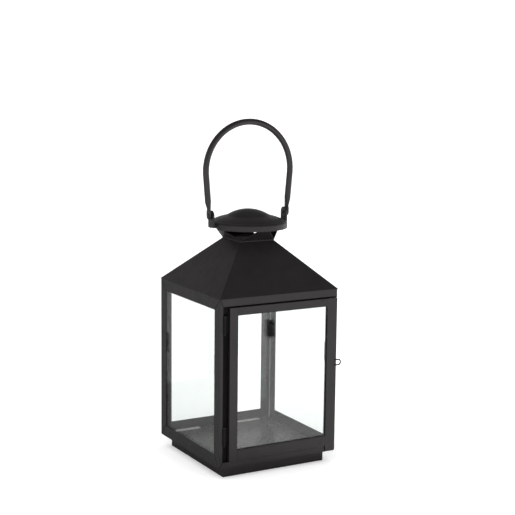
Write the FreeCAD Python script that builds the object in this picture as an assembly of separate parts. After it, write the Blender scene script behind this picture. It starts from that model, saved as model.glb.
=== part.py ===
"""Glazed sheet-metal candle lantern: square plinth, mitred frame, hinged door, vented roof, bail handle.

Millimetres. Origin at the centre of the plinth's underside, +Z up. The door is on the -Y side,
hung on its -X edge, and its pull loop stands out on the +X edge.
"""
import math
import os

import FreeCAD
import Part

V = FreeCAD.Vector

# ---- driving dimensions ------------------------------------------------------------------
HALF = 80.0            # half the frame's square footprint
SHEET = 1.0            # sheet thickness of frame, roof and plinth
FACE = 14.2            # width of the visible frame members on the three glazed sides
GLASS = 2.0            # pane thickness

PLINTH_HALF = 70.0
FRAME_BOTTOM = 14.5
EAVE = 217.4           # top of the frame, where the roof starts

# front of the frame: a narrower border around the door
FRONT_POST = 3.9
FRONT_SILL = 7.0
FRONT_HEAD = 9.0
POST_RECESS = 2.0      # the latch-side post stands this far behind the frame's face
JAMB_DEPTH = 6.7       # how far the door's stop lies behind the frame's face
MITRE_GAP = 0.8        # width of the open joint where two members meet at a corner
MITRE_DEPTH = 0.6

FLOOR_Z = FRAME_BOTTOM + SHEET
FLOOR_SHEET = 0.8

# roof and its vent
ROOF_HALF = HALF + 0.8
ROOF_TOP = 272.8
NECK_HALF = 23.4
ROOF_HEM = 10.0
NECK_BAND = 1.2
FLAP_SPREAD = 1.30     # how far a vent flap leans out for each unit of rise
FLAP_TAPER = 1.24      # how much each edge of a flap draws in for each unit of rise

# cap
CAP_R = 48.0
CAP_BOTTOM = 287.6
CAP_RISE = 22.7
DOME_R = 25.5          # the dome on the cap, a spherical cap
DOME_FOOT = 15.4
CAP_SHEET = 1.0

# bail strap, ears and handle
STRAP_W = 13.0
STRAP_T = 2.2
STRAP_Z = CAP_BOTTOM + 2.0
EAR_X = 49.7           # inner face of an ear
PIVOT_Z = 303.9
RIVET_R = 1.5
TUBE_R = 3.75
BOW_R = 58.4
BOW_Z = 357.6
LEG_LEAN = math.radians(5.0)
TUBE_END_Z = 322.0     # below this the handle is pressed flat
EYE_X = 53.3           # inner face of the flat eye at each end of the handle
EYE_T = 1.9
EYE_W = 8.6
EYE_TOP_Z = 310.0      # the eye has its full flatness up to here

# door
DOOR_FACE_Y = -HALF - 1.3
DOOR_DEPTH = 5.0
DOOR_LEFT = -67.8
DOOR_STILE = 11.1
DOOR_RIGHT_JOINT = 66.0
DOOR_RIGHT = 79.5
DOOR_BOTTOM = 21.9
DOOR_TOP = 206.6
DOOR_SILL = 13.2
DOOR_HEAD = 9.8
STILE_BOTTOM = 15.7    # the latch stile laps over the frame's sill

# hinges
HINGE_X = -74.3
HINGE_Y = -80.8
HINGE_PIN_R = 0.8
KNUCKLE_R = 1.5
HINGE_LEAF = 0.8
HINGE_H = 21.0
HINGE_MIDS = {"lower": 53.0, "upper": 186.0}

# pull loop
PULL_Z = 126.6
PULL_WIRE = 0.8
PULL_HALF = 3.3
PULL_X = 77.9
PULL_OUT = 81.8

RUN_GAP = 0.05         # radial running clearance on every pivot
SEAT_GAP = 0.1         # clearance between a pane and the metal around it


# ---- helpers -----------------------------------------------------------------------------
def box(x0, x1, y0, y1, z0, z1):
    return Part.makeBox(x1 - x0, y1 - y0, z1 - z0, V(x0, y0, z0))


def cylinder(radius, base, direction, length):
    return Part.makeCylinder(radius, length, V(*base), V(*direction))


def prism(points, direction):
    """Closed polygon through points, pushed along direction."""
    wire = Part.makePolygon([V(*p) for p in points + points[:1]])
    return Part.Face(wire).extrude(V(*direction))


def fuse(first, *others):
    return first.fuse(list(others)).removeSplitter()


def square_frustum(half_low, z_low, half_high, z_high):
    rings = []
    for half, z in ((half_low, z_low), (half_high, z_high)):
        corners = [V(-half, -half, z), V(half, -half, z), V(half, half, z), V(-half, half, z)]
        rings.append(Part.makePolygon(corners + corners[:1]))
    return Part.makeLoft(rings, True, True)


def turned(shape, quarter):
    """Copy of shape turned by quarter right angles about the lantern's vertical axis."""
    copy = shape.copy()
    copy.rotate(V(0, 0, 0), V(0, 0, 1), 90.0 * quarter)
    return copy


def front_wedge():
    """Everything nearer to the -Y side than to the other three sides."""
    reach = 2.0 * HALF
    return prism([(0, 0, 0), (-reach, -reach, 0), (reach, -reach, 0)], (0, 0, 500))


def largest(shape):
    return max(shape.Solids, key=lambda solid: solid.Volume)


SIDES = {"front": 0, "right": 1, "back": 2, "left": 3}


# ---- plinth and floor --------------------------------------------------------------------
def plinth_skirt():
    outer = box(-PLINTH_HALF, PLINTH_HALF, -PLINTH_HALF, PLINTH_HALF, 0, FRAME_BOTTOM)
    inner_half = PLINTH_HALF - SHEET
    inner = box(-inner_half, inner_half, -inner_half, inner_half, -1, FRAME_BOTTOM + 1)
    return outer.cut(inner)


def floor_plate():
    half = HALF - SHEET - GLASS - 2 * SEAT_GAP
    front = -HALF + JAMB_DEPTH + SHEET + SEAT_GAP
    return box(-half, half, front, half, FLOOR_Z, FLOOR_Z + FLOOR_SHEET)


# ---- frame -------------------------------------------------------------------------------
def face_post(side_width, head, sill):
    """One flange of a corner post on the -Y face at its -X end, mitred top and bottom."""
    outline = [
        (-HALF, -HALF, FRAME_BOTTOM),
        (-HALF + side_width, -HALF, FRAME_BOTTOM + sill),
        (-HALF + side_width, -HALF, EAVE - head),
        (-HALF, -HALF, EAVE),
    ]
    return prism(outline, (0, SHEET, 0))


def mirrored(shape):
    return shape.mirror(V(0, 0, 0), V(1, 0, 0))


def plain_post(quarter):
    """L-section post at the corner between a face and the one before it."""
    one = face_post(FACE, FACE, FACE)
    other = turned(mirrored(one), 3)
    return turned(fuse(one, other), quarter)


def hinge_post():
    """Front left: narrow flange beside the door, full flange on the glazed side."""
    front = face_post(FRONT_POST, FRONT_HEAD, FRONT_SILL)
    side = turned(mirrored(face_post(FACE, FACE, FACE)), 3)
    return fuse(front, side)


def latch_post():
    """Front right: the flange behind the latch stile is set back from the frame's face."""
    side = turned(face_post(FACE, FACE, FACE), 1)
    low = FRAME_BOTTOM + FRONT_SILL
    high = DOOR_TOP + 0.4
    side = side.cut(box(HALF - 9, HALF + 1, -HALF - 1, -HALF + POST_RECESS, low, high))
    lip_y = -HALF + POST_RECESS
    lip = box(HALF - 9.6, HALF, lip_y, lip_y + SHEET, low, high)
    return fuse(side, lip)


def rail(width, flange_z, flange_sign, quarter):
    """L-section rail: upright flange of given width, level flange at flange_z turned inward."""
    if flange_sign > 0:
        upright = box(-HALF, HALF, -HALF, -HALF + SHEET, flange_z, flange_z + width)
        level_z = flange_z
    else:
        upright = box(-HALF, HALF, -HALF, -HALF + SHEET, flange_z - width, flange_z)
        level_z = flange_z - SHEET
    level = box(-HALF, HALF, -HALF, -HALF + FACE, level_z, level_z + SHEET)
    both = fuse(upright, level).common(front_wedge())
    return turned(both, quarter)


def mitre_groove(width, height, top):
    """Narrow channel along the mitre at the -X end of the -Y face."""
    z0 = EAVE if top else FRAME_BOTTOM
    rise = -height if top else height
    length = math.hypot(width, rise)
    off_x = -rise / length * MITRE_GAP / 2
    off_z = width / length * MITRE_GAP / 2
    outline = [
        (-HALF - off_x, -HALF, z0 - off_z),
        (-HALF + width - off_x, -HALF, z0 + rise - off_z),
        (-HALF + width + off_x, -HALF, z0 + rise + off_z),
        (-HALF + off_x, -HALF, z0 + off_z),
    ]
    return prism(outline, (0, MITRE_DEPTH, 0))


def mitre_grooves():
    grooves = [mitre_groove(FRONT_POST, FRONT_SILL, False), mitre_groove(FRONT_POST, FRONT_HEAD, True)]
    for top in (False, True):
        plain = mitre_groove(FACE, FACE, top)
        for quarter in (1, 2, 3):
            grooves += [turned(plain, quarter), turned(mirrored(plain), quarter)]
    return grooves


def frame_nodes():
    posts = {
        "post_front_left": hinge_post(),
        "post_front_right": latch_post(),
        "post_back_right": plain_post(2),
        "post_back_left": plain_post(3),
    }
    rails = {}
    for side, quarter in SIDES.items():
        sill = FRONT_SILL if side == "front" else FACE
        head = FRONT_HEAD if side == "front" else FACE
        rails["bottom_rail_" + side] = rail(sill, FRAME_BOTTOM, 1, quarter)
        rails["top_rail_" + side] = rail(head, EAVE, -1, quarter)
    for name, shape in rails.items():
        rails[name] = largest(shape.cut(list(posts.values())))
    trim = list(rails.values())
    for name in posts:
        posts[name] = largest(posts[name].cut(trim))
    grooves = mitre_grooves()
    return {name: largest(shape.cut(grooves)) for name, shape in {**posts, **rails}.items()}


def hinge_jamb():
    """Folded strip behind the hinge gap: closes the gap and stops the door."""
    low = FLOOR_Z + FLOOR_SHEET + SEAT_GAP
    high = EAVE - SHEET - SEAT_GAP
    x0 = -HALF + SHEET
    y_back = -HALF + JAMB_DEPTH + SHEET
    leg = box(x0, x0 + SHEET, -HALF + SHEET, y_back, low, high)
    stop = box(x0, DOOR_LEFT + 4.5, y_back - SHEET, y_back, low, high)
    return fuse(leg, stop)


def head_jamb():
    """Plate hung from the front head, behind the slit above the door."""
    y0 = -HALF + 4.5
    return box(-HALF + 3.0, HALF - 2.0, y0, y0 + 0.8, DOOR_TOP - 6.6, EAVE - SHEET)


# ---- fixed glass -------------------------------------------------------------------------
def side_pane(sign):
    x_out = HALF - SHEET
    x0, x1 = sorted((sign * x_out, sign * (x_out - GLASS)))
    y0 = -HALF + JAMB_DEPTH + SHEET + 0.8
    y1 = HALF - SHEET - GLASS - SEAT_GAP
    return box(x0, x1, y0, y1, FLOOR_Z + SEAT_GAP, EAVE - SHEET - SEAT_GAP)


def back_pane():
    half = HALF - SHEET - SEAT_GAP
    y_out = HALF - SHEET
    return box(-half, half, y_out - GLASS, y_out, FLOOR_Z + SEAT_GAP, EAVE - SHEET - SEAT_GAP)


def glazing_clip(sign_x, sign_y):
    """Small folded tab soldered in a corner, lying on the inside of the panes."""
    clip_h = 24.0
    reach = 13.0
    foot = 4.0
    mid_z = 136.0
    leaf = 0.8
    inner = HALF - SHEET - GLASS
    x0 = inner - SEAT_GAP - leaf
    z0 = mid_z - clip_h / 2
    far_y = inner - SEAT_GAP
    if sign_y > 0:
        side = box(x0, x0 + leaf, far_y - reach, far_y, z0, z0 + clip_h)
        back = box(x0 - foot + leaf, x0 + leaf, far_y - leaf, far_y, z0, z0 + clip_h)
    else:
        near = HALF - JAMB_DEPTH - SHEET
        side = box(x0, x0 + leaf, near - reach, near, z0, z0 + clip_h)
        back = box(x0 - 2.0, x0 + leaf, near - leaf, near, z0, z0 + clip_h)
    clip = fuse(side, back)
    if sign_x < 0:
        clip = mirrored(clip)
    if sign_y < 0:
        clip = clip.mirror(V(0, 0, 0), V(0, 1, 0))
    return clip


# ---- roof and vent -----------------------------------------------------------------------
def roof_shell():
    slope = math.atan2(ROOF_TOP - EAVE, ROOF_HALF - NECK_HALF)
    inset = SHEET / math.sin(slope)
    outer = square_frustum(ROOF_HALF, EAVE, NECK_HALF, ROOF_TOP)
    inner = square_frustum(ROOF_HALF - inset, EAVE, NECK_HALF - inset, ROOF_TOP)
    hem_half = ROOF_HALF - 2 * SHEET
    hem = box(-hem_half, hem_half, -hem_half, hem_half, EAVE, EAVE + SHEET)
    hole_half = ROOF_HALF - ROOF_HEM
    hole = box(-hole_half, hole_half, -hole_half, hole_half, EAVE - 1, EAVE + SHEET + 1)
    return fuse(outer.cut(inner), hem.cut(hole))


def vent_flap(rise, trim):
    """Flap on the -Y side of the neck: short upright band, then leaning out and tapering."""
    z0 = ROOF_TOP + NECK_BAND
    out = NECK_HALF + FLAP_SPREAD * rise
    half_top = NECK_HALF - FLAP_TAPER * rise
    lean = math.atan(FLAP_SPREAD)
    normal = (0, SHEET * math.cos(lean), SHEET * math.sin(lean))
    outline = [
        (-NECK_HALF, -NECK_HALF, z0),
        (NECK_HALF, -NECK_HALF, z0),
        (half_top, -out, z0 + rise),
        (-half_top, -out, z0 + rise),
    ]
    leaf = prism(outline, normal)
    band = box(-NECK_HALF, NECK_HALF, -NECK_HALF, -NECK_HALF + SHEET, ROOF_TOP, z0)
    crease = cylinder(SHEET, (-NECK_HALF, -NECK_HALF + SHEET, z0), (1, 0, 0), 2 * NECK_HALF)
    crease = crease.common(box(-HALF, HALF, -NECK_HALF, -NECK_HALF + SHEET, z0, z0 + SHEET))
    flap = fuse(band, leaf, crease).common(front_wedge())
    flap = flap.cut(box(-HALF, HALF, -HALF, HALF, ROOF_TOP - 50, ROOF_TOP))
    if trim is not None:
        flap = flap.cut(trim)
    return largest(flap)


def roof_nodes(cap_shell):
    panel = largest(roof_shell().common(front_wedge()))
    short_rise = STRAP_Z - ROOF_TOP - NECK_BAND
    long_rise = 18.6
    nodes = {}
    for side, quarter in SIDES.items():
        nodes["roof_panel_" + side] = turned(panel, quarter)
        if side in ("front", "back"):
            flap = vent_flap(long_rise, turned(cap_shell, -quarter))
        else:
            above_strap = box(-HALF, HALF, -HALF, HALF, STRAP_Z, STRAP_Z + 50)
            flap = vent_flap(short_rise, above_strap)
        nodes["vent_flap_" + side] = turned(flap, quarter)
    return nodes


# ---- cap ---------------------------------------------------------------------------------
def cap_body(inset):
    """Solid of revolution inside the cap's outer face, drawn in by inset."""
    rim = CAP_R - inset
    low = CAP_BOTTOM - (1.0 if inset else 0.0)
    shoulder_z = CAP_BOTTOM + 6.0 - 0.4 * inset
    edge = V(rim, 0, shoulder_z)
    brow = V(rim - 1.1, 0, CAP_BOTTOM + 7.6 - 0.7 * inset)
    skirt_start = V(rim - 3.6, 0, CAP_BOTTOM + 8.7 - inset)
    skirt_mid = V(36.5, 0, CAP_BOTTOM + 12.0 - inset)
    crease = V(28.5, 0, CAP_BOTTOM + 14.2 - inset)
    foot = V(DOME_R, 0, CAP_BOTTOM + DOME_FOOT - inset)
    top = V(0, 0, CAP_BOTTOM + CAP_RISE - inset)
    dome_rise = CAP_RISE - DOME_FOOT
    ball_r = (DOME_R ** 2 + dome_rise ** 2) / (2 * dome_rise)
    half_angle = math.asin(DOME_R / ball_r) / 2
    dome_mid = V(ball_r * math.sin(half_angle), 0, top.z - ball_r * (1 - math.cos(half_angle)))
    edges = [
        Part.LineSegment(V(0, 0, low), V(rim, 0, low)).toShape(),
        Part.LineSegment(V(rim, 0, low), edge).toShape(),
        Part.Arc(edge, brow, skirt_start).toShape(),
        Part.Arc(skirt_start, skirt_mid, crease).toShape(),
        Part.LineSegment(crease, foot).toShape(),
        Part.Arc(foot, dome_mid, top).toShape(),
        Part.LineSegment(top, V(0, 0, low)).toShape(),
    ]
    return Part.Face(Part.Wire(edges)).revolve(V(0, 0, 0), V(0, 0, 1), 360)


def cap_with_notches():
    shell = cap_body(0.0).cut(cap_body(CAP_SHEET))
    notch_half = 9.5
    notch_top = CAP_BOTTOM + 5.4
    for sign in (-1, 1):
        x0, x1 = sorted((sign * (CAP_R - 4), sign * (CAP_R + 2)))
        shell = shell.cut(box(x0, x1, -notch_half, notch_half, CAP_BOTTOM - 1, notch_top))
    return largest(shell)


# ---- bail: strap, ears, rivets, handle -----------------------------------------------------
def ear(sign):
    half = STRAP_W / 2
    x0, x1 = sorted((sign * EAR_X, sign * (EAR_X + STRAP_T)))
    blade = box(x0, x1, -half, half, STRAP_Z, PIVOT_Z)
    crown = cylinder(half, (x0, 0, PIVOT_Z), (1, 0, 0), STRAP_T)
    return fuse(blade, crown)


def bail_strap():
    """Strap crossing under the cap, its ends turned up outside the rim as two ears."""
    reach = EAR_X + STRAP_T
    strap = box(-reach, reach, -STRAP_W / 2, STRAP_W / 2, STRAP_Z, STRAP_Z + STRAP_T)
    whole = fuse(strap, ear(-1), ear(1))
    hole = cylinder(RIVET_R, (-reach - 1, 0, PIVOT_Z), (1, 0, 0), 2 * reach + 2)
    return whole.cut(hole)


def dome(radius, height, base, direction):
    """Spherical cap standing on base."""
    ball_r = (radius ** 2 + height ** 2) / (2 * height)
    centre = V(*base) - V(*direction) * (ball_r - height)
    return Part.makeSphere(ball_r, centre).common(cylinder(radius + 1, base, direction, height + 1))


def bail_rivet(sign):
    """Rivet through ear and handle eye, with a collar that keeps the two apart."""
    inner = EAR_X
    outer = EYE_X + EYE_T + SEAT_GAP
    shank = cylinder(RIVET_R, (inner, 0, PIVOT_Z), (1, 0, 0), outer - inner)
    collar_x = EAR_X + STRAP_T
    collar = cylinder(2.3, (collar_x, 0, PIVOT_Z), (1, 0, 0), EYE_X - SEAT_GAP - collar_x)
    inner_head = dome(2.2, 2.1, (inner, 0, PIVOT_Z), (-1, 0, 0))
    outer_head = dome(2.9, 1.3, (outer, 0, PIVOT_Z), (1, 0, 0))
    rivet = fuse(shank, collar, inner_head, outer_head)
    return rivet if sign > 0 else mirrored(rivet)


def bow_point(angle):
    return V(BOW_R * math.cos(angle), 0, BOW_Z + BOW_R * math.sin(angle))


def bail_tube():
    right_tangent = bow_point(-LEG_LEAN)
    left_tangent = bow_point(math.pi + LEG_LEAN)
    drop = right_tangent.z - TUBE_END_Z
    right_end = V(right_tangent.x - drop * math.tan(LEG_LEAN), 0, TUBE_END_Z)
    left_end = V(-right_end.x, 0, TUBE_END_Z)
    path = Part.Wire([
        Part.LineSegment(right_end, right_tangent).toShape(),
        Part.Arc(right_tangent, bow_point(math.pi / 2), left_tangent).toShape(),
        Part.LineSegment(left_tangent, left_end).toShape(),
    ])
    along = right_tangent - right_end
    section = Part.Wire(Part.makeCircle(TUBE_R, right_end, along))
    return path.makePipeShell([section], True, True)


def leg_section(centre, half_x, half_y, squareness, lean):
    """Level many-sided outline round centre: a circle, an ellipse or a flatter rounded form."""
    points = []
    for step in range(24):
        angle = 2 * math.pi * (step + 0.5) / 24
        cos, sin = math.cos(angle), math.sin(angle)
        x = math.copysign(abs(cos) ** squareness, cos) * half_x
        y = math.copysign(abs(sin) ** squareness, sin) * half_y
        points.append(centre + V(x, y, -x * lean))
    return Part.makePolygon(points + points[:1])


def pressed_neck():
    """Where the round tube goes over into the flat eye."""
    top = bow_point(-LEG_LEAN)
    tube_end_x = top.x - (top.z - TUBE_END_Z) * math.tan(LEG_LEAN)
    mid_x = EYE_X + EYE_T / 2
    sections = []
    for step in range(5):
        share = step / 4
        ease = share * share * (3 - 2 * share)
        z = EYE_TOP_Z + share * (TUBE_END_Z - EYE_TOP_Z)
        x = mid_x + ease * (tube_end_x - mid_x)
        half_x = EYE_T / 2 + ease * (TUBE_R - EYE_T / 2)
        half_y = EYE_W / 2 + ease * (TUBE_R - EYE_W / 2)
        lean = share * math.tan(LEG_LEAN)
        sections.append(leg_section(V(x, 0, z), half_x, half_y, 0.6 + 0.4 * ease, lean))
    return Part.makeLoft(sections, True, True)


def bail_eye(sign):
    """Pressed end of the handle: round where it meets the tube, flat round the pivot hole."""
    half_w = EYE_W / 2
    blade = box(EYE_X, EYE_X + EYE_T, -half_w, half_w, PIVOT_Z, EYE_TOP_Z)
    foot = cylinder(half_w, (EYE_X, 0, PIVOT_Z), (1, 0, 0), EYE_T)
    hole = cylinder(RIVET_R + RUN_GAP, (EYE_X - 1, 0, PIVOT_Z), (1, 0, 0), EYE_T + 2)
    eye = fuse(blade, foot).cut(hole).fuse(pressed_neck())
    return eye if sign > 0 else mirrored(eye)


# ---- door --------------------------------------------------------------------------------
DOOR_BACK_Y = DOOR_FACE_Y + DOOR_DEPTH


def door_channel(x0, x1, z0, z1, web):
    """Folded channel whose slot takes the glass; web names the closed edge."""
    skin_front = box(x0, x1, DOOR_FACE_Y, DOOR_FACE_Y + SHEET, z0, z1)
    skin_back = box(x0, x1, DOOR_BACK_Y - SHEET, DOOR_BACK_Y, z0, z1)
    if web == "left":
        edge = box(x0, x0 + SHEET, DOOR_FACE_Y, DOOR_BACK_Y, z0, z1)
    elif web == "bottom":
        edge = box(x0, x1, DOOR_FACE_Y, DOOR_BACK_Y, z0, z0 + SHEET)
    else:
        edge = box(x0, x1, DOOR_FACE_Y, DOOR_BACK_Y, z1 - SHEET, z1)
    return fuse(skin_front, skin_back, edge)


def latch_stile():
    """Separate closing strip: laps over the latch post and ends the glass slot."""
    face = box(DOOR_RIGHT_JOINT, DOOR_RIGHT, DOOR_FACE_Y, DOOR_FACE_Y + SHEET, STILE_BOTTOM, DOOR_TOP)
    web_x = DOOR_RIGHT_JOINT + 2.4
    web = box(web_x, web_x + SHEET, DOOR_FACE_Y, DOOR_BACK_Y, DOOR_BOTTOM, DOOR_TOP)
    back = box(DOOR_RIGHT_JOINT, web_x + SHEET, DOOR_BACK_Y - SHEET, DOOR_BACK_Y, DOOR_BOTTOM, DOOR_TOP)
    lip_y = -HALF + POST_RECESS - 0.4
    lip_low = FRAME_BOTTOM + FRONT_SILL + 1.0
    lip = box(DOOR_RIGHT - SHEET, DOOR_RIGHT, DOOR_FACE_Y, lip_y, lip_low, DOOR_TOP)
    stile = fuse(face, web, back, lip)
    for sign in (-1, 1):
        hole_z = PULL_Z + sign * PULL_HALF
        stile = stile.cut(cylinder(PULL_WIRE, (PULL_X, DOOR_FACE_Y - 1, hole_z), (0, 1, 0), 3))
    return stile


def door_pane():
    slot_front = DOOR_FACE_Y + SHEET
    y0 = slot_front + 0.5
    x0 = DOOR_LEFT + SHEET + SEAT_GAP
    x1 = DOOR_RIGHT_JOINT + 2.3
    return box(x0, x1, y0, y0 + GLASS, DOOR_BOTTOM + SHEET + SEAT_GAP, DOOR_TOP - SHEET - SEAT_GAP)


def door_rivets():
    """Two small domed rivets that tie the rails to the latch stile's inner side."""
    heads = []
    for z in (DOOR_BOTTOM + 4.0, DOOR_TOP - 3.2):
        heads.append(Part.makeCone(1.5, 0.9, 0.6, V(DOOR_RIGHT_JOINT - 7.0, DOOR_FACE_Y, z), V(0, -1, 0)))
    return Part.makeCompound(heads)


def pull_loop():
    """D-shaped wire through two holes near the stile's edge, standing out beyond it."""
    bend = 1.2
    y_in = DOOR_FACE_Y + SHEET + 0.4
    y_out = DOOR_FACE_Y - 1.1
    tip = PULL_OUT + PULL_HALF
    diagonal = bend * (1 - math.sqrt(0.5))

    def leg(z):
        inside = V(PULL_X, y_in, z)
        elbow_in = V(PULL_X, y_out + bend, z)
        elbow_mid = V(PULL_X + diagonal, y_out + diagonal, z)
        elbow_out = V(PULL_X + bend, y_out, z)
        shoulder = V(PULL_OUT, y_out, z)
        return [
            Part.LineSegment(inside, elbow_in).toShape(),
            Part.Arc(elbow_in, elbow_mid, elbow_out).toShape(),
            Part.LineSegment(elbow_out, shoulder).toShape(),
        ]

    low = leg(PULL_Z - PULL_HALF)
    high = leg(PULL_Z + PULL_HALF)
    nose = Part.Arc(
        V(PULL_OUT, y_out, PULL_Z - PULL_HALF),
        V(tip, y_out, PULL_Z),
        V(PULL_OUT, y_out, PULL_Z + PULL_HALF),
    ).toShape()
    path = Part.Wire(low + [nose] + high[::-1])
    start = V(PULL_X, y_in, PULL_Z - PULL_HALF)
    section = Part.Wire(Part.makeCircle(PULL_WIRE, start, V(0, -1, 0)))
    return path.makePipeShell([section], True, True)


def door_nodes():
    return {
        "door_hinge_stile": door_channel(DOOR_LEFT, DOOR_LEFT + DOOR_STILE, DOOR_BOTTOM, DOOR_TOP, "left"),
        "door_bottom_rail": door_channel(
            DOOR_LEFT + DOOR_STILE, DOOR_RIGHT_JOINT, DOOR_BOTTOM, DOOR_BOTTOM + DOOR_SILL, "bottom"),
        "door_top_rail": door_channel(
            DOOR_LEFT + DOOR_STILE, DOOR_RIGHT_JOINT, DOOR_TOP - DOOR_HEAD, DOOR_TOP, "top"),
        "door_latch_stile": latch_stile(),
        "door_glass": door_pane(),
        "door_rivets": door_rivets(),
        "door_pull_loop": pull_loop(),
    }


# ---- hinges ------------------------------------------------------------------------------
def knuckle(z0, z1, bore):
    solid = cylinder(KNUCKLE_R, (HINGE_X, HINGE_Y, z0), (0, 0, 1), z1 - z0)
    return solid.cut(cylinder(bore, (HINGE_X, HINGE_Y, z0 - 1), (0, 0, 1), z1 - z0 + 2))


def hinge_set(mid):
    """Frame leaf with the middle knuckle, door leaf with the two end knuckles, and the pin."""
    z0 = mid - HINGE_H / 2
    z1 = mid + HINGE_H / 2
    third = HINGE_H / 3
    slack = 0.15
    mid0 = z0 + third
    mid1 = z1 - third

    leaf_y = -HALF + SHEET
    neck_x = HINGE_X - KNUCKLE_R
    plate = box(-HALF + 2 * SHEET, neck_x + HINGE_LEAF, leaf_y, leaf_y + HINGE_LEAF, z0, z1)
    neck = box(neck_x, neck_x + HINGE_LEAF, HINGE_Y, leaf_y + HINGE_LEAF, mid0, mid1)
    frame_bore = cylinder(HINGE_PIN_R, (HINGE_X, HINGE_Y, z0), (0, 0, 1), HINGE_H)
    frame_leaf = fuse(plate, neck, knuckle(mid0, mid1, HINGE_PIN_R)).cut(frame_bore)

    leg_x0 = HINGE_X - HINGE_LEAF / 2
    leg_x1 = leg_x0 + HINGE_LEAF
    leg_y = HINGE_Y + KNUCKLE_R + 0.4
    pad = box(DOOR_LEFT - HINGE_LEAF, DOOR_LEFT, DOOR_BACK_Y - 2.2, DOOR_BACK_Y, z0, z1)
    web = box(leg_x0, DOOR_LEFT, DOOR_BACK_Y - HINGE_LEAF, DOOR_BACK_Y, z0, z1)
    leg = box(leg_x0, leg_x1, leg_y, DOOR_BACK_Y, z0, z1)
    ends = []
    for low, high in ((z0, mid0 - slack), (mid1 + slack, z1)):
        arm = box(leg_x0, leg_x1, HINGE_Y, leg_y, low, high)
        ends.append(fuse(arm, knuckle(low, high, HINGE_PIN_R + RUN_GAP)))
    door_bore = cylinder(HINGE_PIN_R + RUN_GAP, (HINGE_X, HINGE_Y, z0), (0, 0, 1), HINGE_H)
    door_leaf = fuse(pad, web, leg, *ends).cut(door_bore)

    head_h = 0.7
    pin = cylinder(HINGE_PIN_R, (HINGE_X, HINGE_Y, z0 - 0.5), (0, 0, 1), HINGE_H + 1.0)
    head = cylinder(KNUCKLE_R - 0.3, (HINGE_X, HINGE_Y, z1 + slack), (0, 0, 1), head_h)
    return frame_leaf, door_leaf, fuse(pin, head)


def hinge_nodes():
    nodes = {}
    for place, mid in HINGE_MIDS.items():
        frame_leaf, door_leaf, pin = hinge_set(mid)
        nodes[f"{place}_hinge_frame_leaf"] = frame_leaf
        nodes[f"{place}_hinge_door_leaf"] = door_leaf
        nodes[f"{place}_hinge_pin"] = pin
    return nodes


# ---- assembly ----------------------------------------------------------------------------
def build():
    cap = cap_with_notches()
    nodes = {
        "plinth_skirt": plinth_skirt(),
        "floor_plate": floor_plate(),
        "hinge_jamb": hinge_jamb(),
        "head_jamb": head_jamb(),
        "glass_left": side_pane(-1),
        "glass_right": side_pane(1),
        "glass_back": back_pane(),
        "chimney_cap": cap,
        "bail_strap": bail_strap(),
        "bail_tube": bail_tube(),
    }
    nodes.update(frame_nodes())
    nodes.update(roof_nodes(cap))
    for name_x, sign_x in (("left", -1), ("right", 1)):
        nodes["bail_rivet_" + name_x] = bail_rivet(sign_x)
        nodes["bail_eye_" + name_x] = bail_eye(sign_x).cut(nodes["bail_tube"])
        for name_y, sign_y in (("front", -1), ("back", 1)):
            nodes[f"glazing_clip_{name_y}_{name_x}"] = glazing_clip(sign_x, sign_y)
    nodes.update(door_nodes())
    nodes.update(hinge_nodes())
    return nodes


def main():
    os.makedirs("parts", exist_ok=True)
    for name, shape in sorted(build().items()):
        if not shape.isValid():
            print("invalid shape:", name)
        print(f"{name:28s} solids {len(shape.Solids)}  volume {shape.Volume:10.1f} mm3")
        shape.exportStep(f"parts/{name}.step")


main()
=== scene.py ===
"""Looks of a glazed sheet-metal candle lantern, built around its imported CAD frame, in metres."""
import math
import random

import bmesh
import bpy
from mathutils import Matrix, Vector


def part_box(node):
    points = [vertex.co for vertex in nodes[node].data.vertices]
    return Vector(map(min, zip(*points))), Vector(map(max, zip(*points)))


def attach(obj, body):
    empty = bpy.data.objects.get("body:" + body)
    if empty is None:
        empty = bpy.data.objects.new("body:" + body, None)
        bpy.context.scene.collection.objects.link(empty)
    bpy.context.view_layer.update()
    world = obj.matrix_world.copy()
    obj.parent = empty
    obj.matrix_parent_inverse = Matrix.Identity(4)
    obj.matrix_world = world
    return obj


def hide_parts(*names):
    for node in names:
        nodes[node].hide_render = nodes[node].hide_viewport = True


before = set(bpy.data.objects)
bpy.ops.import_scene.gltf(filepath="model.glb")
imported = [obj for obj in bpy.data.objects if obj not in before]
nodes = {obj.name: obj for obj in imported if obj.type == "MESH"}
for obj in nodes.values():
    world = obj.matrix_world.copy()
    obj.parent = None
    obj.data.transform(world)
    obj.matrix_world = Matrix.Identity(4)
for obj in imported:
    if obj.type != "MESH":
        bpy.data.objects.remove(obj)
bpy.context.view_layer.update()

MM = 0.001


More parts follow.
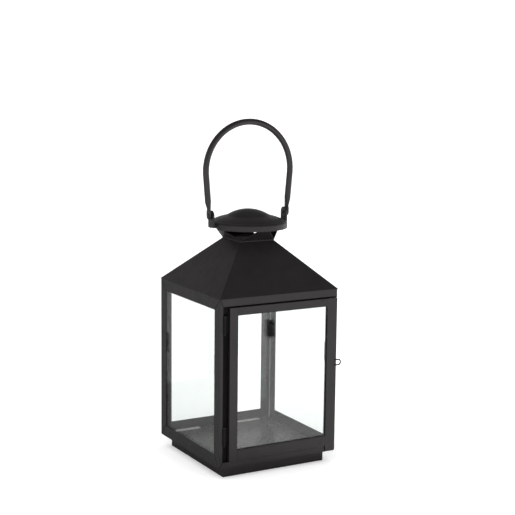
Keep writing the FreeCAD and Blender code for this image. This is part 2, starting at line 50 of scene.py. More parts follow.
# ---- node helpers --------------------------------------------------------------------------
class Tree:
    """Adds nodes to one node tree and links them."""

    def __init__(self, tree):
        self.tree = tree

    def put(self, socket, value):
        if isinstance(value, bpy.types.NodeSocket):
            self.tree.links.new(value, socket)
        else:
            socket.default_value = value

    def add(self, kind, inputs=None, **settings):
        node = self.tree.nodes.new(kind)
        for key, value in settings.items():
            setattr(node, key, value)
        for key, value in (inputs or {}).items():
            self.put(node.inputs[key], value)
        return node

    def math(self, operation, *values, clamp=False):
        node = self.add("ShaderNodeMath", operation=operation, use_clamp=clamp)
        for i, value in enumerate(values):
            self.put(node.inputs[i], value)
        return node.outputs[0]

    def mix(self, share, first, second):
        node = self.add("ShaderNodeMix", data_type="RGBA")
        self.put(node.inputs[0], share)
        self.put(node.inputs[6], first)
        self.put(node.inputs[7], second)
        return node.outputs[2]

    def noise(self, vector, scale, detail=2.0, roughness=0.5, distortion=0.0):
        inputs = {"Vector": vector, "Scale": scale, "Detail": detail,
                  "Roughness": roughness, "Distortion": distortion}
        return self.add("ShaderNodeTexNoise", inputs).outputs["Fac"]

    def span(self, value, low, high, to_low=0.0, to_high=1.0):
        """value taken from low..high to to_low..to_high and held at the ends."""
        inputs = {0: value, 1: low, 2: high, 3: to_low, 4: to_high}
        return self.add("ShaderNodeMapRange", inputs, clamp=True).outputs[0]

    def bump(self, height, distance, normal=None):
        inputs = {"Height": height, "Distance": distance, "Strength": 1.0}
        if normal is not None:
            inputs["Normal"] = normal
        return self.add("ShaderNodeBump", inputs).outputs[0]

    def principled(self, output, inputs):
        """Principled surface with these inputs, linked to the material's output."""
        shader = self.add("ShaderNodeBsdfPrincipled", inputs)
        self.put(output.inputs["Surface"], shader.outputs[0])


def new_material(name):
    material = bpy.data.materials.new(name)
    material.use_nodes = True
    material.node_tree.nodes.clear()
    tree = Tree(material.node_tree)
    output = tree.add("ShaderNodeOutputMaterial")
    return material, tree, output


# ---- materials -----------------------------------------------------------------------------
BLACK = (0.0080, 0.0074, 0.0077, 1.0)
BLACK_WARM = (0.0105, 0.0092, 0.0098, 1.0)
DUST = (0.10, 0.095, 0.088, 1.0)
STEEL = (0.42, 0.41, 0.40, 1.0)
# bright steel greys: bare steel, and partly a painted highlight on the floor tongues
STEEL_CLEAN = (0.86, 0.85, 0.82, 1.0)
STEEL_STAINED = (0.66, 0.645, 0.62, 1.0)
STEEL_SCRATCHES = (40.0, 2200.0, 900.0)
STEEL_METALLIC = 0.45
FLOOR_GREYS = ((0.036, 0.036, 0.032, 1.0), (0.048, 0.048, 0.043, 1.0))
PAPER_GREYS = ((0.93, 0.93, 0.93, 1.0), (0.95, 0.95, 0.95, 1.0))
CARD_GREYS = ((0.34, 0.34, 0.34, 1.0), (0.40, 0.40, 0.40, 1.0))
GLASS_TINT = (0.975, 0.988, 0.981, 1.0)
GLASS_EDGE_TINTS = ((0.20, 0.225, 0.21, 1.0), (0.46, 0.49, 0.47, 1.0))
GREASE = (0.75, 0.76, 0.75, 1.0)
COAT_GLINT = (1.0, 0.955, 0.97, 1.0)
ROOF_GLINT = (1.0, 0.86, 0.95, 1.0)
FLOOR_GLINT = (1.0, 0.99, 0.95, 1.0)

# heights of the fine relief, in metres
SHEET_WAVE = 0.00035
COAT_GRAIN = 0.000030
WORN_GRAIN = 0.000025
FLOOR_GRAIN = 0.000012
FOLD_GRAIN = 0.00003
STEEL_GRAIN = 0.000015
GLASS_WAVE = 0.0003
PAPER_GRAIN = 0.00002
EDGE_GRAIN = 0.00002

GLASS_MIRROR = 0.043        # share that one surface of the glass mirrors when it is looked at straight on
GLASS_MIRROR_POWER = 5.0
FLOOR_GLOW = 0.30


def powder_coat(name, rough=0.46, spread=0.10, shine=0.42, grain=1.0, dust=0.05, wave=1.0,
                tint=COAT_GLINT):
    """Baked black powder coat: fine pebbled grain, slow waves of the sheet, handling marks and dust."""
    material, tree, output = new_material(name)
    where = tree.add("ShaderNodeTexCoord")
    at = where.outputs["Object"]
    up = tree.add("ShaderNodeSeparateXYZ", {0: where.outputs["Normal"]}).outputs[2]
    patch = tree.noise(at, 38.0, 3.0, 0.55)
    smear = tree.noise(at, 120.0, 4.0, 0.6, 0.6)
    pebble = tree.noise(at, 1500.0, 2.0, 0.55)
    peel = tree.noise(at, 420.0, 1.0, 0.5)
    sheet_wave = tree.noise(at, 16.0, 1.0, 0.4)
    paint = tree.mix(tree.span(patch, 0.35, 0.68), BLACK, BLACK_WARM)
    speck = tree.span(tree.noise(at, 2600.0, 1.0, 0.5), 0.66, 0.80)
    lying = tree.span(up, 0.35, 1.0, 0.25, 1.0)
    settled = tree.math("MULTIPLY", tree.span(smear, 0.35, 0.8), lying)
    haze = tree.math("MULTIPLY", tree.math("ADD", settled, tree.math("MULTIPLY", speck, lying)), dust)
    colour = tree.mix(haze, paint, DUST)
    gloss = tree.math("ADD", tree.span(smear, 0.3, 0.72, rough - spread / 2, rough + spread / 2),
                      tree.math("MULTIPLY", haze, 0.9))
    height = tree.math("ADD", tree.math("MULTIPLY", pebble, 0.55), tree.math("MULTIPLY", peel, 1.0))
    waved = tree.bump(sheet_wave, SHEET_WAVE * wave)
    surface = tree.bump(height, COAT_GRAIN * grain, waved)
    tree.principled(output, {
        "Base Color": colour, "Roughness": gloss, "Specular IOR Level": shine, "Specular Tint": tint,
        "Normal": surface})
    return material


def worn_paint(name, bare=0.18, rough=0.40):
    """The same coat on small fittings, rubbed down to dull steel where they work against each other."""
    material, tree, output = new_material(name)
    where = tree.add("ShaderNodeTexCoord")
    at = where.outputs["Object"]
    patch = tree.noise(at, 260.0, 3.0, 0.6)
    chip = tree.noise(at, 900.0, 4.0, 0.65, 0.4)
    rub = tree.math("MULTIPLY", tree.span(chip, 0.62, 0.68), tree.span(patch, 0.46, 0.60))
    share = tree.math("MULTIPLY", rub, bare, clamp=True)
    coat = tree.mix(patch, BLACK, BLACK_WARM)
    colour = tree.mix(share, coat, STEEL)
    gloss = tree.span(chip, 0.3, 0.7, rough - 0.05, rough + 0.08)
    height = tree.math("SUBTRACT", tree.noise(at, 1500.0, 2.0, 0.5), tree.math("MULTIPLY", rub, 0.8))
    tree.principled(output, {
        "Base Color": colour, "Metallic": share, "Roughness": gloss, "Specular IOR Level": 0.45,
        "Normal": tree.bump(height, WORN_GRAIN)})
    return material


def floor_coat(name):
    """Smoother grey coat of the floor plate, with faint soft cloudiness and a little dust."""
    material, tree, output = new_material(name)
    at = tree.add("ShaderNodeTexCoord").outputs["Object"]
    patch = tree.noise(at, 14.0, 2.0, 0.45)
    scuff = tree.noise(at, 300.0, 4.0, 0.6)
    speck = tree.span(tree.noise(at, 1900.0, 1.0, 0.5), 0.70, 0.80)
    haze = tree.math("ADD", tree.math("MULTIPLY", patch, 0.06), tree.math("MULTIPLY", speck, 0.10))
    coat = tree.mix(tree.span(patch, 0.3, 0.7), *FLOOR_GREYS)
    colour = tree.mix(haze, coat, DUST)
    gloss = tree.math("ADD", tree.span(patch, 0.3, 0.7, 0.24, 0.28),
                      tree.span(scuff, 0.4, 0.8, 0.0, 0.05))
    height = tree.noise(at, 650.0, 2.0, 0.5)
    tree.principled(output, {
        "Base Color": colour, "Roughness": gloss, "Specular IOR Level": 0.45,
        "Specular Tint": FLOOR_GLINT, "Normal": tree.bump(height, FLOOR_GRAIN)})
    return material


def gap_shade_coat(name):
    """Thin matt black that hardly reflects: painted shade for the surfaces deep in the gaps and folds,
    with dust caught in it.
    """
    material, tree, output = new_material(name)
    at = tree.add("ShaderNodeTexCoord").outputs["Object"]
    patch = tree.noise(at, 90.0, 3.0, 0.6)
    lint = tree.span(tree.noise(at, 700.0, 3.0, 0.6), 0.60, 0.78)
    colour = tree.mix(tree.math("MULTIPLY", lint, 0.06), tree.mix(patch, BLACK, BLACK_WARM), DUST)
    tree.principled(output, {
        "Base Color": colour, "Roughness": tree.span(patch, 0.3, 0.7, 0.72, 0.88),
        "Specular IOR Level": 0.10, "Normal": tree.bump(tree.noise(at, 1200.0, 2.0, 0.6), FOLD_GRAIN)})
    return material


def bare_steel_and_highlight(name):
    """Cut and rubbed sheet steel: fine scratches across it, dull patches, paint left in the low spots.
    Its bright colour, half of it diffuse, also paints in a highlight.
    """
    material, tree, output = new_material(name)
    at = tree.add("ShaderNodeTexCoord").outputs["Object"]
    stretched = tree.add("ShaderNodeMapping", {"Vector": at, "Scale": STEEL_SCRATCHES}).outputs[0]
    scratch = tree.noise(stretched, 1.0, 3.0, 0.6)
    stain = tree.noise(at, 160.0, 4.0, 0.6)
    paint = tree.span(stain, 0.68, 0.76)
    metal = tree.mix(tree.span(stain, 0.3, 0.6), STEEL_CLEAN, STEEL_STAINED)
    metallic = tree.math("MULTIPLY", tree.math("SUBTRACT", 1.0, paint), STEEL_METALLIC)
    tree.principled(output, {
        "Base Color": tree.mix(paint, metal, BLACK_WARM), "Metallic": metallic,
        "Roughness": tree.span(scratch, 0.3, 0.7, 0.30, 0.48),
        "Normal": tree.bump(scratch, STEEL_GRAIN)})
    return material


def pane_glass(name):
    """Clear float glass: mirrors more the flatter the view, passes the rest; a trace of film and lint."""
    material, tree, output = new_material(name)
    at = tree.add("ShaderNodeTexCoord").outputs["Object"]
    facing = tree.add("ShaderNodeLayerWeight", {"Blend": 0.5}).outputs["Facing"]
    steep = tree.math("POWER", facing, GLASS_MIRROR_POWER)
    mirror = tree.math("ADD", tree.math("MULTIPLY", steep, 1.0 - GLASS_MIRROR), GLASS_MIRROR)
    wipe = tree.noise(at, 24.0, 4.0, 0.6, 1.6)
    lint = tree.span(tree.noise(at, 1300.0, 2.0, 0.6), 0.74, 0.80)
    film = tree.math("ADD", tree.span(wipe, 0.45, 0.85, 0.002, 0.016),
                     tree.math("MULTIPLY", lint, 0.02))
    clear = tree.add("ShaderNodeBsdfTransparent", {"Color": GLASS_TINT})
    gloss = tree.add("ShaderNodeBsdfGlossy", {
        "Color": (1.0, 1.0, 1.0, 1.0), "Roughness": tree.span(wipe, 0.3, 0.8, 0.015, 0.05),
        "Normal": tree.bump(tree.noise(at, 9.0, 1.0, 0.3), GLASS_WAVE)})
    grease = tree.add("ShaderNodeBsdfDiffuse", {"Color": GREASE})
    filmed = tree.add("ShaderNodeMixShader", {0: film, 1: clear.outputs[0], 2: grease.outputs[0]})
    both = tree.add("ShaderNodeMixShader", {0: mirror, 1: filmed.outputs[0], 2: gloss.outputs[0]})
    tree.put(output.inputs["Surface"], both.outputs[0])
    return material


def ground_edge(name):
    """Ground edge of a glass pane: frosty, a little green, cloudier in places."""
    material, tree, output = new_material(name)
    at = tree.add("ShaderNodeTexCoord").outputs["Object"]
    grain = tree.noise(at, 2400.0, 3.0, 0.6)
    patch = tree.noise(at, 60.0, 3.0, 0.6)
    colour = tree.mix(tree.span(patch, 0.3, 0.7), *GLASS_EDGE_TINTS)
    tree.principled(output, {
        "Base Color": colour, "Roughness": tree.span(grain, 0.3, 0.7, 0.35, 0.60),
        "Normal": tree.bump(grain, EDGE_GRAIN)})
    return material


def studio_floor(name):
    """Pale matt sheet lit a little from below, as on a light table."""
    material, tree, output = new_material(name)
    at = tree.add("ShaderNodeTexCoord").outputs["Object"]
    fibre = tree.noise(at, 900.0, 3.0, 0.6)
    cloud = tree.noise(at, 3.0, 2.0, 0.5)
    colour = tree.mix(cloud, *PAPER_GREYS)
    tree.principled(output, {
        "Base Color": colour, "Roughness": tree.span(fibre, 0.3, 0.7, 0.85, 0.95),
        "Specular IOR Level": 0.1, "Normal": tree.bump(fibre, PAPER_GRAIN),
        "Emission Color": colour, "Emission Strength": FLOOR_GLOW})
    return material


def card_paper(name):
    """Dull grey card with a fibrous face."""
    material, tree, output = new_material(name)
    at = tree.add("ShaderNodeTexCoord").outputs["Object"]
    fibre = tree.noise(at, 500.0, 3.0, 0.6)
    tree.principled(output, {
        "Base Color": tree.mix(fibre, *CARD_GREYS),
        "Roughness": tree.span(fibre, 0.3, 0.7, 0.85, 0.95), "Specular IOR Level": 0.1,
        "Normal": tree.bump(fibre, PAPER_GRAIN)})
    return material


# ---- softening of the CAD sheets --------------------------------------------------------------
def node_tree(name):
    tree = bpy.data.node_groups.new(name, "GeometryNodeTree")
    tree.interface.new_socket("Geometry", in_out="INPUT", socket_type="NodeSocketGeometry")
    tree.interface.new_socket("Geometry", in_out="OUTPUT", socket_type="NodeSocketGeometry")
    maker = Tree(tree)
    start = maker.add("NodeGroupInput")
    end = maker.add("NodeGroupOutput")
    return tree, maker, start.outputs[0], end.inputs[0]


WELD_DISTANCE = 0.00001
SMOOTH_ANGLE = math.radians(38.0)
BEVEL_ANGLE = math.radians(35.0)
FLAT_ANGLE = math.radians(0.4)
NORMAL_WEIGHT = 60


def joined_tree():
    """Closes the mesh up: shared corners become one point, and the imported corner normals go."""
    tree, maker, geometry, end = node_tree("close_up")
    plain = maker.add("GeometryNodeRemoveAttribute", {"Geometry": geometry, "Name": "custom_normal"})
    merged = maker.add("GeometryNodeMergeByDistance",
                       {"Geometry": plain.outputs[0], "Distance": WELD_DISTANCE})
    maker.put(end, merged.outputs[0])
    return tree


def smooth_tree(angle):
    """Shades smooth, except across edges steeper than angle."""
    tree, maker, geometry, end = node_tree("smooth_by_angle")
    steep = maker.add("GeometryNodeInputMeshEdgeAngle").outputs["Unsigned Angle"]
    sharp = maker.add("FunctionNodeCompare", {0: steep, 1: angle}, data_type="FLOAT",
                      operation="GREATER_THAN").outputs[0]
    faces = maker.add("GeometryNodeSetShadeSmooth", {"Geometry": geometry, "Shade Smooth": True},
                      domain="FACE")
    edges = maker.add("GeometryNodeSetShadeSmooth", {
        "Geometry": faces.outputs[0], "Selection": sharp, "Shade Smooth": False}, domain="EDGE")
    maker.put(end, edges.outputs[0])
    return tree


CLOSE_UP = joined_tree()
SMOOTH = smooth_tree(SMOOTH_ANGLE)


def geometry_modifier(obj, tree):
    modifier = obj.modifiers.new(tree.name, "NODES")
    modifier.node_group = tree


def soften(obj, width, segments=3, flat=True):
    """Rounds the sheet's edges by width. flat clears the triangles from flat faces first."""
    geometry_modifier(obj, CLOSE_UP)
    if flat:
        flatten = obj.modifiers.new("flat_faces", "DECIMATE")
        flatten.decimate_type = "DISSOLVE"
        flatten.angle_limit = FLAT_ANGLE
    bevel = obj.modifiers.new("round_edges", "BEVEL")
    bevel.width = width
    bevel.segments = segments
    bevel.limit_method = "ANGLE"
    bevel.angle_limit = BEVEL_ANGLE
    bevel.use_clamp_overlap = True
    geometry_modifier(obj, SMOOTH)
    weighted = obj.modifiers.new("flat_shading", "WEIGHTED_NORMAL")
    weighted.keep_sharp = True
    weighted.weight = NORMAL_WEIGHT


# ---- camera, lights, stage ---------------------------------------------------------------------
CAMERA = {"azimuth": -29.521, "elevation": 9.114, "roll": 0.637, "distance": 1.5516, "lens": 88.125}
SENSOR_WIDTH = 36.0
AIM_HEIGHT = 0.249694
AIM_RIGHT = 0.01192

SKY_GREYS = ((0.0, 1.0), (0.09, 1.0), (0.22, 0.55), (0.42, 0.22), (0.75, 0.07), (1.0, 0.05))
SKY_STRENGTH = 1.12
LAMP_SPREAD = math.radians(140.0)
LAMP_STRENGTH = 3.25
LAMP_FROM = (-0.25, -0.35, 1.0)

FLOOR_SIZE = 24.0
CARD_ACROSS = Vector((0.870, 0.492, 0.0))
CARD_AWAY = Vector((-0.492, 0.870, 0.0))
CARD_ENDS = (-0.75, -0.4, 0.0, 0.30)
CARD_PROFILE = ((-0.12, 0.0015), (0.35, 0.0015), (0.56, 0.002), (0.66, 0.03), (0.70, 0.10),
                (0.72, 0.30), (0.73, 0.55))
CARD_THICKNESS = (0.003, -0.001)
STRIP_CORNERS = ((0.347, -0.711), (0.361, -0.704), (0.432, -0.827), (0.417, -0.834))
STRIP_HEIGHTS = (0.001, 0.003)


def add_camera():
    azimuth, elevation, roll = (math.radians(CAMERA[k]) for k in ("azimuth", "elevation", "roll"))
    back = Vector((math.sin(azimuth) * math.cos(elevation), -math.cos(azimuth) * math.cos(elevation),
                   math.sin(elevation)))
    level = Vector((math.cos(azimuth), math.sin(azimuth), 0.0))
    rise = back.cross(level)
    right = math.cos(roll) * level + math.sin(roll) * rise
    up = math.cos(roll) * rise - math.sin(roll) * level
    place = Vector((0.0, 0.0, AIM_HEIGHT)) + AIM_RIGHT * level + CAMERA["distance"] * back
    data = bpy.data.cameras.new("camera")
    data.lens = CAMERA["lens"]
    data.sensor_width = SENSOR_WIDTH
    camera = bpy.data.objects.new("camera", data)
    turn = Matrix((right, up, back)).transposed()
    camera.matrix_world = Matrix.Translation(place) @ turn.to_4x4()
    bpy.context.scene.collection.objects.link(camera)
    bpy.context.scene.camera = camera


def add_world():
    """White all round near the horizon, and falling to a dark ceiling overhead."""
    world = bpy.data.worlds.new("studio")
    world.use_nodes = True
    world.node_tree.nodes.clear()
    tree = Tree(world.node_tree)
    way = tree.add("ShaderNodeTexCoord").outputs["Generated"]
    height = tree.add("ShaderNodeSeparateXYZ", {0: way}).outputs[2]
    ramp = tree.add("ShaderNodeValToRGB", {0: height})
    while len(ramp.color_ramp.elements) < len(SKY_GREYS):
        ramp.color_ramp.elements.new(0.5)
    for element, (place, grey) in zip(ramp.color_ramp.elements, SKY_GREYS):
        element.position = place
        element.color = (grey, grey, grey, 1.0)
    light = tree.add("ShaderNodeBackground", {"Color": ramp.outputs[0], "Strength": SKY_STRENGTH})
    output = tree.add("ShaderNodeOutputWorld")
    tree.put(output.inputs[0], light.outputs[0])
    bpy.context.scene.world = world


def add_lamp():
    """One very wide soft light from above; gloss mirrors the surroundings and not the lamp."""
    data = bpy.data.lights.new("overhead", "SUN")
    data.angle = LAMP_SPREAD
    data.energy = LAMP_STRENGTH
    lamp = bpy.data.objects.new("overhead", data)
    lamp.matrix_world = Vector(LAMP_FROM).to_track_quat("Z", "Y").to_matrix().to_4x4()
    lamp.visible_glossy = False
    bpy.context.scene.collection.objects.link(lamp)


def add_gloss_prop(name, rings, material):
    """Staged sheet through rings that only glossy rays see."""
    mesh = bmesh.new()
    sweep(mesh, rings)
    prop = mesh_object(name, mesh, material)
    prop.visible_camera = False
    prop.visible_diffuse = False
    prop.visible_shadow = False
    prop.visible_transmission = False


def add_grey_card():
    """Grey card that lies and stands behind and to the left, so that the left faces stay calm."""
    deeper, lower = CARD_THICKNESS
    rings = []
    for x in CARD_ENDS:
        face = [CARD_AWAY * d + CARD_ACROSS * x + Vector((0, 0, z)) for d, z in CARD_PROFILE]
        back = [CARD_AWAY * (d + deeper) + CARD_ACROSS * x + Vector((0, 0, z + lower))
                for d, z in CARD_PROFILE]
        rings.append(face + back[::-1])
    add_gloss_prop("grey_card", rings, card_paper("card_paper"))


def add_black_strip():
    """Black strip lying in front: the door's glass mirrors it as the dark mark on the back post."""
    rings = [[Vector((x, y, z)) for x, y in STRIP_CORNERS] for z in STRIP_HEIGHTS]
    add_gloss_prop("black_strip", rings, gap_shade_coat("black_strip"))


def add_floor():
    bpy.ops.mesh.primitive_grid_add(x_subdivisions=8, y_subdivisions=8, size=FLOOR_SIZE)
    floor = bpy.context.object
    floor.name = "studio_floor"
    floor.data.materials.append(studio_floor("studio_floor"))


# ---- assembly of the looks -----------------------------------------------------------------------
SMOOTH_NODES = ("bail_eye_left", "bail_eye_right", "bail_strap", "bail_tube", "chimney_cap",
                "door_pull_loop", "bail_rivet_left", "bail_rivet_right", "door_rivets",
                "lower_hinge_door_leaf", "lower_hinge_frame_leaf", "lower_hinge_pin",
                "upper_hinge_door_leaf", "upper_hinge_frame_leaf", "upper_hinge_pin")
FINE_EDGE = 0.25 * MM
POST_EDGE = 0.24 * MM
SHEET_EDGE = 0.42 * MM
SILL_EDGE = 0.60 * MM


def paint_frame():
    finish = {
        "frame_paint": powder_coat("frame_paint"),
        "door_paint": powder_coat("door_paint", rough=0.44),
        "roof_paint": powder_coat("roof_paint", rough=0.50, shine=0.38, dust=0.03, tint=ROOF_GLINT),
        "cap_paint": powder_coat("cap_paint"),
        "floor_paint": floor_coat("floor_paint"),
        "handle_paint": powder_coat("handle_paint", rough=0.38, shine=0.48, wave=0.0),
        "fitting_paint": worn_paint("fitting_paint", bare=0.45, rough=0.27),
        # inner_paint: matt, hardly reflecting black, painted shade for the parts deep in the gaps
        "inner_paint": gap_shade_coat("inner_paint"),
        "clear_glass": pane_glass("clear_glass"),
    }
    for obj in nodes.values():
        for slot in obj.material_slots:
            slot.material = finish[slot.material.name.split(".")[0]]
    return finish


def soften_frame():
    for name, obj in sorted(nodes.items()):
        if name in SMOOTH_NODES:
            soften(obj, FINE_EDGE, 2, flat=False)
        elif name.startswith("glass_") or name == "door_glass":
            soften(obj, FINE_EDGE, 2)
        elif name.startswith("bottom_rail_"):
            soften(obj, SILL_EDGE, 4)
        elif name.startswith(("post_", "top_rail_")):
            soften(obj, POST_EDGE)
        else:
            soften(obj, SHEET_EDGE)


# ---- pieces beyond the CAD ------------------------------------------------------------------------
def mesh_object(name, mesh, material):
    """Object of a built-up mesh, with its faces turned outward."""
    bmesh.ops.recalc_face_normals(mesh, faces=mesh.faces)
    data = bpy.data.meshes.new(name)
    mesh.to_mesh(data)
    mesh.free()
    piece = bpy.data.objects.new(name, data)
    bpy.context.scene.collection.objects.link(piece)
    data.materials.append(material)
    return piece


def place_piece(name, mesh, body, material):
    for face in mesh.faces:
        face.smooth = True
    piece = mesh_object(name, mesh, material)
    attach(piece, body)
    return piece


def stitch(mesh, loops):
    """Walls between loops of points, each loop joined to the next."""
    count = len(loops[0])
    for first, second in zip(loops, loops[1:]):
        for i in range(count):
            j = (i + 1) % count
            mesh.faces.new((first[i], first[j], second[j], second[i]))


def sweep(mesh, rings):
    """Closed tube through rings, each a list of the same number of points, with flat ends."""
    loops = [[mesh.verts.new(point) for point in ring] for ring in rings]
    stitch(mesh, loops)
    mesh.faces.new(loops[0][::-1])
    mesh.faces.new(loops[-1])


CROWN_RISE = 0.04 * MM


def lathe(mesh, base, axis, profile, steps=28):
    """Turned form on base: profile lists (radius, height) from the foot up to a pointed crown."""
    axis = Vector(axis).normalized()
    side = axis.orthogonal().normalized()
    other = axis.cross(side)
    base = Vector(base)
    loops = []
    for radius, height in profile:
        ring = []
        for i in range(steps):
            angle = 2 * math.pi * i / steps
            spoke = math.cos(angle) * side + math.sin(angle) * other
            ring.append(mesh.verts.new(base + axis * height + spoke * radius))
        loops.append(ring)
    stitch(mesh, loops)
    crown = mesh.verts.new(base + axis * (profile[-1][1] + CROWN_RISE))
    for i in range(steps):
        mesh.faces.new((loops[-1][i], loops[-1][(i + 1) % steps], crown))
    mesh.faces.new(loops[0][::-1])


DOME_STEPS = 9
DOME_FOOT_DEPTH = 0.05 * MM


def dome_profile(radius, height, foot=0.12):
    """Rivet head: a short upright foot under a dome that flattens towards the crown."""
    foot *= height
    rings = [(radius * 0.98, -DOME_FOOT_DEPTH), (radius, foot * 0.5), (radius * 0.995, foot)]
    for i in range(1, DOME_STEPS):
        angle = math.pi / 2 * i / DOME_STEPS
        rings.append((radius * math.cos(angle), foot + (height - foot) * math.sin(angle)))
    return rings


def door_rivet_heads(material):
    """The two small rivets near the latch stile, as turned heads."""
    low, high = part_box("door_rivets")
    radius = (high[0] - low[0]) / 2
    middle = (low[0] + high[0]) / 2
    mesh = bmesh.new()
    for z in (low[2] + radius, high[2] - radius):
        lathe(mesh, (middle, high[1], z), (0, -1, 0), dome_profile(radius, high[1] - low[1]))
    piece = place_piece("door_rivet_heads", mesh, "door", material)
    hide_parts("door_rivets")


PEEN_RADIUS = 1.05 * MM
PEEN_HEIGHT = 0.55 * MM


def pin_ends(material):
    """Peened lower ends of the hinge pins, mushroomed out under the last knuckle."""
    for place in ("lower", "upper"):
        low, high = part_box(place + "_hinge_pin")
        middle = ((low[0] + high[0]) / 2, (low[1] + high[1]) / 2, low[2])
        mesh = bmesh.new()
        lathe(mesh, middle, (0, 0, -1), dome_profile(PEEN_RADIUS, PEEN_HEIGHT, 0.3))
        place_piece(place + "_hinge_pin_peen", mesh, "lantern", material)


TONGUE_BEND = 1.3 * MM
TONGUE_FLAT = 3.6 * MM
TONGUE_THICKNESS = 0.6 * MM
TONGUE_HALF = 17.5 * MM
TONGUE_CENTRE = 44.5 * MM
TONGUE_CLEAR = 0.25 * MM
TONGUE_LIFT = 0.02 * MM
TONGUE_STEPS = 24


def tongue_path(back_edge, floor_top):
    """Side view of a bent tongue: flat on the floor, then curling up to its free edge."""
    centre_y = back_edge - TONGUE_BEND
    centre_z = floor_top + TONGUE_BEND
    path = [(back_edge - TONGUE_FLAT, floor_top), (centre_y, floor_top)]
    for i in range(1, 8):
        angle = math.radians(-90 + 13 * i)
        path.append((centre_y + TONGUE_BEND * math.cos(angle), centre_z + TONGUE_BEND * math.sin(angle)))
    return path


def floor_tongues(material):
    """Two bent tongues that hold the back edge of the floor plate, their edges rubbed bare and coloured
    bright as a painted highlight line.
    """
    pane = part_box("glass_back")[0][1]
    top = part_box("floor_plate")[1][2] + TONGUE_LIFT
    path = tongue_path(pane - TONGUE_CLEAR, top)
    for name, centre in (("left", -TONGUE_CENTRE), ("right", TONGUE_CENTRE)):
        mesh = bmesh.new()
        rings = []
        for i in range(TONGUE_STEPS + 1):
            share = i / TONGUE_STEPS
            x = centre - TONGUE_HALF + 2 * TONGUE_HALF * share
            pinch = 1.0 - 0.35 * max(0.0, abs(2 * share - 1) - 0.9) / 0.1
            outer = []
            inner = []
            for k, (y, z) in enumerate(path):
                before = path[max(k - 1, 0)]
                after = path[min(k + 1, len(path) - 1)]
                run = Vector((after[0] - before[0], after[1] - before[1])).normalized()
                lift = (z - top) * pinch + top
                outer.append(Vector((x, y, lift)))
                inner.append(Vector((x, y - run.y * TONGUE_THICKNESS, lift + run.x * TONGUE_THICKNESS)))
            rings.append(outer + inner[::-1])
        sweep(mesh, rings)
        place_piece("floor_tongue_" + name, mesh, "lantern", material)


EDGE_INSET = 0.15 * MM
EDGE_DEPTH = 0.25 * MM
EDGE_PROUD = 0.06 * MM
EDGE_CHAMFER = 0.3 * MM
EDGE_NICK = 0.05 * MM
EDGE_MARGIN = 1.0 * MM
EDGE_STEPS = 40


def pane_edges(material):
    """Ground back edges of the two side panes, standing against the back pane."""
    for name in ("left", "right"):
        low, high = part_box("glass_" + name)
        x0, x1 = low[0] + EDGE_INSET, high[0] - EDGE_INSET
        y0, y1 = high[1] - EDGE_DEPTH, high[1] + EDGE_PROUD
        shoulder = y0 + EDGE_INSET
        mesh = bmesh.new()
        rings = []
        for i in range(EDGE_STEPS + 1):
            z = low[2] + EDGE_MARGIN + (high[2] - low[2] - 2 * EDGE_MARGIN) * i / EDGE_STEPS
            front = y0 + EDGE_NICK * math.sin(3.1 * i + x0 * 900)
            outline = ((x0, shoulder), (x0 + EDGE_CHAMFER, front), (x1 - EDGE_CHAMFER, front),
                       (x1, shoulder), (x1, y1), (x0, y1))
            rings.append([Vector((x, y, z)) for x, y in outline])
        sweep(mesh, rings)
        place_piece("pane_edge_" + name, mesh, "lantern", material)


# strips of painted shade that darken the mitre grooves
SEAM_HALF = 0.37 * MM
SEAM_STEPS = 8
SEAM_END = 0.03
SEAM_SECTION = ((-1, 0.44), (-0.5, 0.40), (0.5, 0.40), (1, 0.44), (1, 0.58), (-1, 0.58))


def seam_strip(mesh, half, start, end, turn):
    """Dark strip of painted shade in the bottom of one mitre joint on the -Y face, then turned about the
    vertical axis.
    """
    start, end = Vector(start), Vector(end)
    along = (end - start).normalized()
    side = Vector((-along.y, along.x)) * SEAM_HALF
    spin = Matrix.Rotation(turn, 3, "Z")
    rings = []
    for i in range(SEAM_STEPS + 1):
        middle = start.lerp(end, SEAM_END + (1 - 2 * SEAM_END) * i / SEAM_STEPS)
        ring = []
        for way, depth in SEAM_SECTION:
            point = middle + side * way
            ring.append(spin @ Vector((point.x, -half + depth * MM, point.y)))
        rings.append(ring)
    sweep(mesh, rings)


def mitre_shade_strips(material):
    """Painted shade: matt black strips in the bottoms of the open mitre joints at the frame's corners."""
    half = -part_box("bottom_rail_left")[0][0]
    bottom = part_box("bottom_rail_left")[0][2]
    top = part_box("top_rail_left")[1][2]
    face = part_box("bottom_rail_left")[1][2] - bottom
    front_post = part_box("post_front_left")[1][0] + half
    front_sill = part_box("bottom_rail_front")[1][2] - bottom
    front_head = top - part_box("top_rail_front")[0][2]
    mesh = bmesh.new()
    seam_strip(mesh, half, (-half, bottom), (-half + front_post, bottom + front_sill), 0.0)
    seam_strip(mesh, half, (-half, top), (-half + front_post, top - front_head), 0.0)
    for quarter in (1, 2, 3):
        for sign in (-1, 1):
            turn = quarter * math.pi / 2
            inner = sign * (half - face)
            seam_strip(mesh, half, (sign * half, bottom), (inner, bottom + face), turn)
            seam_strip(mesh, half, (sign * half, top), (inner, top - face), turn)
    place_piece("mitre_shade_strips", mesh, "lantern", material)


CORNERS = (("front_left", -1, -1), ("front_right", 1, -1), ("back_right", 1, 1), ("back_left", -1, 1))
HIP_TOP_HALF = 23.4 * MM
FOLD_RADIUS = 0.55 * MM
FOLD_DEPTH = 0.62 * MM
FOLD_WOBBLE = 0.012 * MM
FOLD_END = 0.004
FOLD_STEPS = 32
FOLD_SIDES = 12


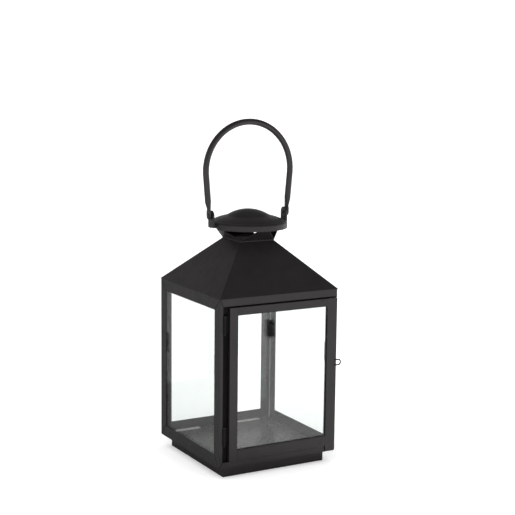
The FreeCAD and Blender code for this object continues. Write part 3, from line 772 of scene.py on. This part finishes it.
def hip_folds(material):
    """Rounded fold along each hip of the roof, closing the groove between two panels."""
    low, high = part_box("roof_panel_front")
    half_low = -low[1]
    for name, sx, sy in CORNERS:
        foot = Vector((sx * half_low, sy * half_low, low[2]))
        head = Vector((sx * HIP_TOP_HALF, sy * HIP_TOP_HALF, high[2]))
        along = (head - foot).normalized()
        outward = Vector((sx, sy, 0)) - along * Vector((sx, sy, 0)).dot(along)
        outward.normalize()
        across = along.cross(outward)
        mesh = bmesh.new()
        rings = []
        for i in range(FOLD_STEPS + 1):
            share = i / FOLD_STEPS
            centre = foot.lerp(head, FOLD_END + (1 - 2 * FOLD_END) * share) - outward * FOLD_DEPTH
            radius = FOLD_RADIUS + FOLD_WOBBLE * math.sin(9.0 * share + 2.0 * sx + sy)
            ring = []
            for k in range(FOLD_SIDES):
                angle = 2 * math.pi * k / FOLD_SIDES
                ring.append(centre + radius * (math.cos(angle) * outward + math.sin(angle) * across))
            rings.append(ring)
        sweep(mesh, rings)
        place_piece("hip_fold_" + name, mesh, "lantern", material)


BEAD_SIDES = 20
BEAD_RINGS = 6
BEAD_FOOT_DEPTH = 0.15 * MM


def bead(mesh, centre, normal, radius, height, seed):
    """One weld or solder dab: a low uneven mound."""
    rng = random.Random(seed)
    normal = Vector(normal).normalized()
    side = normal.orthogonal().normalized()
    other = normal.cross(side)
    centre = Vector(centre)
    phases = [rng.uniform(0, 6.28) for _ in range(3)]
    loops = []
    for k in range(BEAD_RINGS + 1):
        lift = k / BEAD_RINGS
        ring = []
        for i in range(BEAD_SIDES):
            angle = 2 * math.pi * i / BEAD_SIDES
            wave = 1 + 0.12 * math.sin(2 * angle + phases[0]) + 0.07 * math.sin(3 * angle + phases[1])
            reach = radius * wave * math.cos(lift * math.pi / 2 * 0.97)
            rise = height * math.sin(lift * math.pi / 2) - BEAD_FOOT_DEPTH * (k == 0)
            spoke = math.cos(angle) * side + math.sin(angle) * other
            ring.append(mesh.verts.new(centre + normal * rise + reach * spoke))
        loops.append(ring)
    stitch(mesh, loops)
    mesh.faces.new(loops[0][::-1])
    mesh.faces.new(loops[-1])


PLINTH_BEAD = 2.4 * MM
PLINTH_BEAD_HEIGHT = 1.0 * MM
PLINTH_BEAD_INSET = 1.0 * MM
PLINTH_BEAD_DROP = 0.9 * MM
PLINTH_BEAD_PLACES = (0.18, 0.5, 0.82)
PLINTH_SEED = 10
STRAP_BEAD = 1.6 * MM
STRAP_BEAD_HEIGHT = 0.8 * MM
STRAP_BEAD_INSET = 1.3 * MM
STRAP_BEAD_SIDE = 3.0 * MM
STRAP_BEAD_DROP = 0.5 * MM
STRAP_SEED = 40


def plinth_tacks(material):
    """Painted-over weld dabs inside the plinth, where it meets the frame's bottom rails."""
    low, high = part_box("plinth_skirt")
    mesh = bmesh.new()
    inset = PLINTH_BEAD_INSET
    z = high[2] - PLINTH_BEAD_DROP
    seed = PLINTH_SEED
    for share in PLINTH_BEAD_PLACES:
        run = low[0] + share * (high[0] - low[0])
        for place, normal in (((run, low[1] + inset, z), (0, 0.7, -0.7)),
                              ((run, high[1] - inset, z), (0, -0.7, -0.7)),
                              ((low[0] + inset, run, z), (0.7, 0, -0.7)),
                              ((high[0] - inset, run, z), (-0.7, 0, -0.7))):
            bead(mesh, place, normal, PLINTH_BEAD, PLINTH_BEAD_HEIGHT, seed)
            seed += 1
    place_piece("plinth_weld_tacks", mesh, "lantern", material)


def strap_tacks(material):
    """Weld dabs that hold the bail strap to the two vent flaps under it."""
    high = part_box("vent_flap_right")[1]
    mesh = bmesh.new()
    z = high[2] - STRAP_BEAD_DROP
    for sign in (-1, 1):
        x = sign * (high[0] - STRAP_BEAD_INSET)
        for side in (-1, 1):
            seed = STRAP_SEED + 3 * sign + side
            bead(mesh, (x, side * STRAP_BEAD_SIDE, z), (-sign * 0.75, 0, -0.6),
                 STRAP_BEAD, STRAP_BEAD_HEIGHT, seed)
    place_piece("strap_weld_tacks", mesh, "lantern", material)


def add_pieces(finish):
    door_rivet_heads(finish["fitting_paint"])
    pin_ends(finish["fitting_paint"])
    # bare steel tongues whose bright colour is partly a painted highlight
    floor_tongues(bare_steel_and_highlight("bare_steel_and_highlight"))
    pane_edges(ground_edge("ground_edge"))
    # painted shade in the mitre grooves
    mitre_shade_strips(finish["inner_paint"])
    hip_folds(finish["roof_paint"])
    plinth_tacks(finish["frame_paint"])
    strap_tacks(finish["roof_paint"])


def set_colours():
    scene = bpy.context.scene
    scene.view_settings.view_transform = "Standard"
    scene.view_settings.look = "None"
    scene.view_settings.exposure = 0.0
    scene.view_settings.gamma = 1.0


finish = paint_frame()
soften_frame()
add_pieces(finish)
add_camera()
add_world()
add_lamp()
add_floor()
add_grey_card()
add_black_strip()
set_colours()
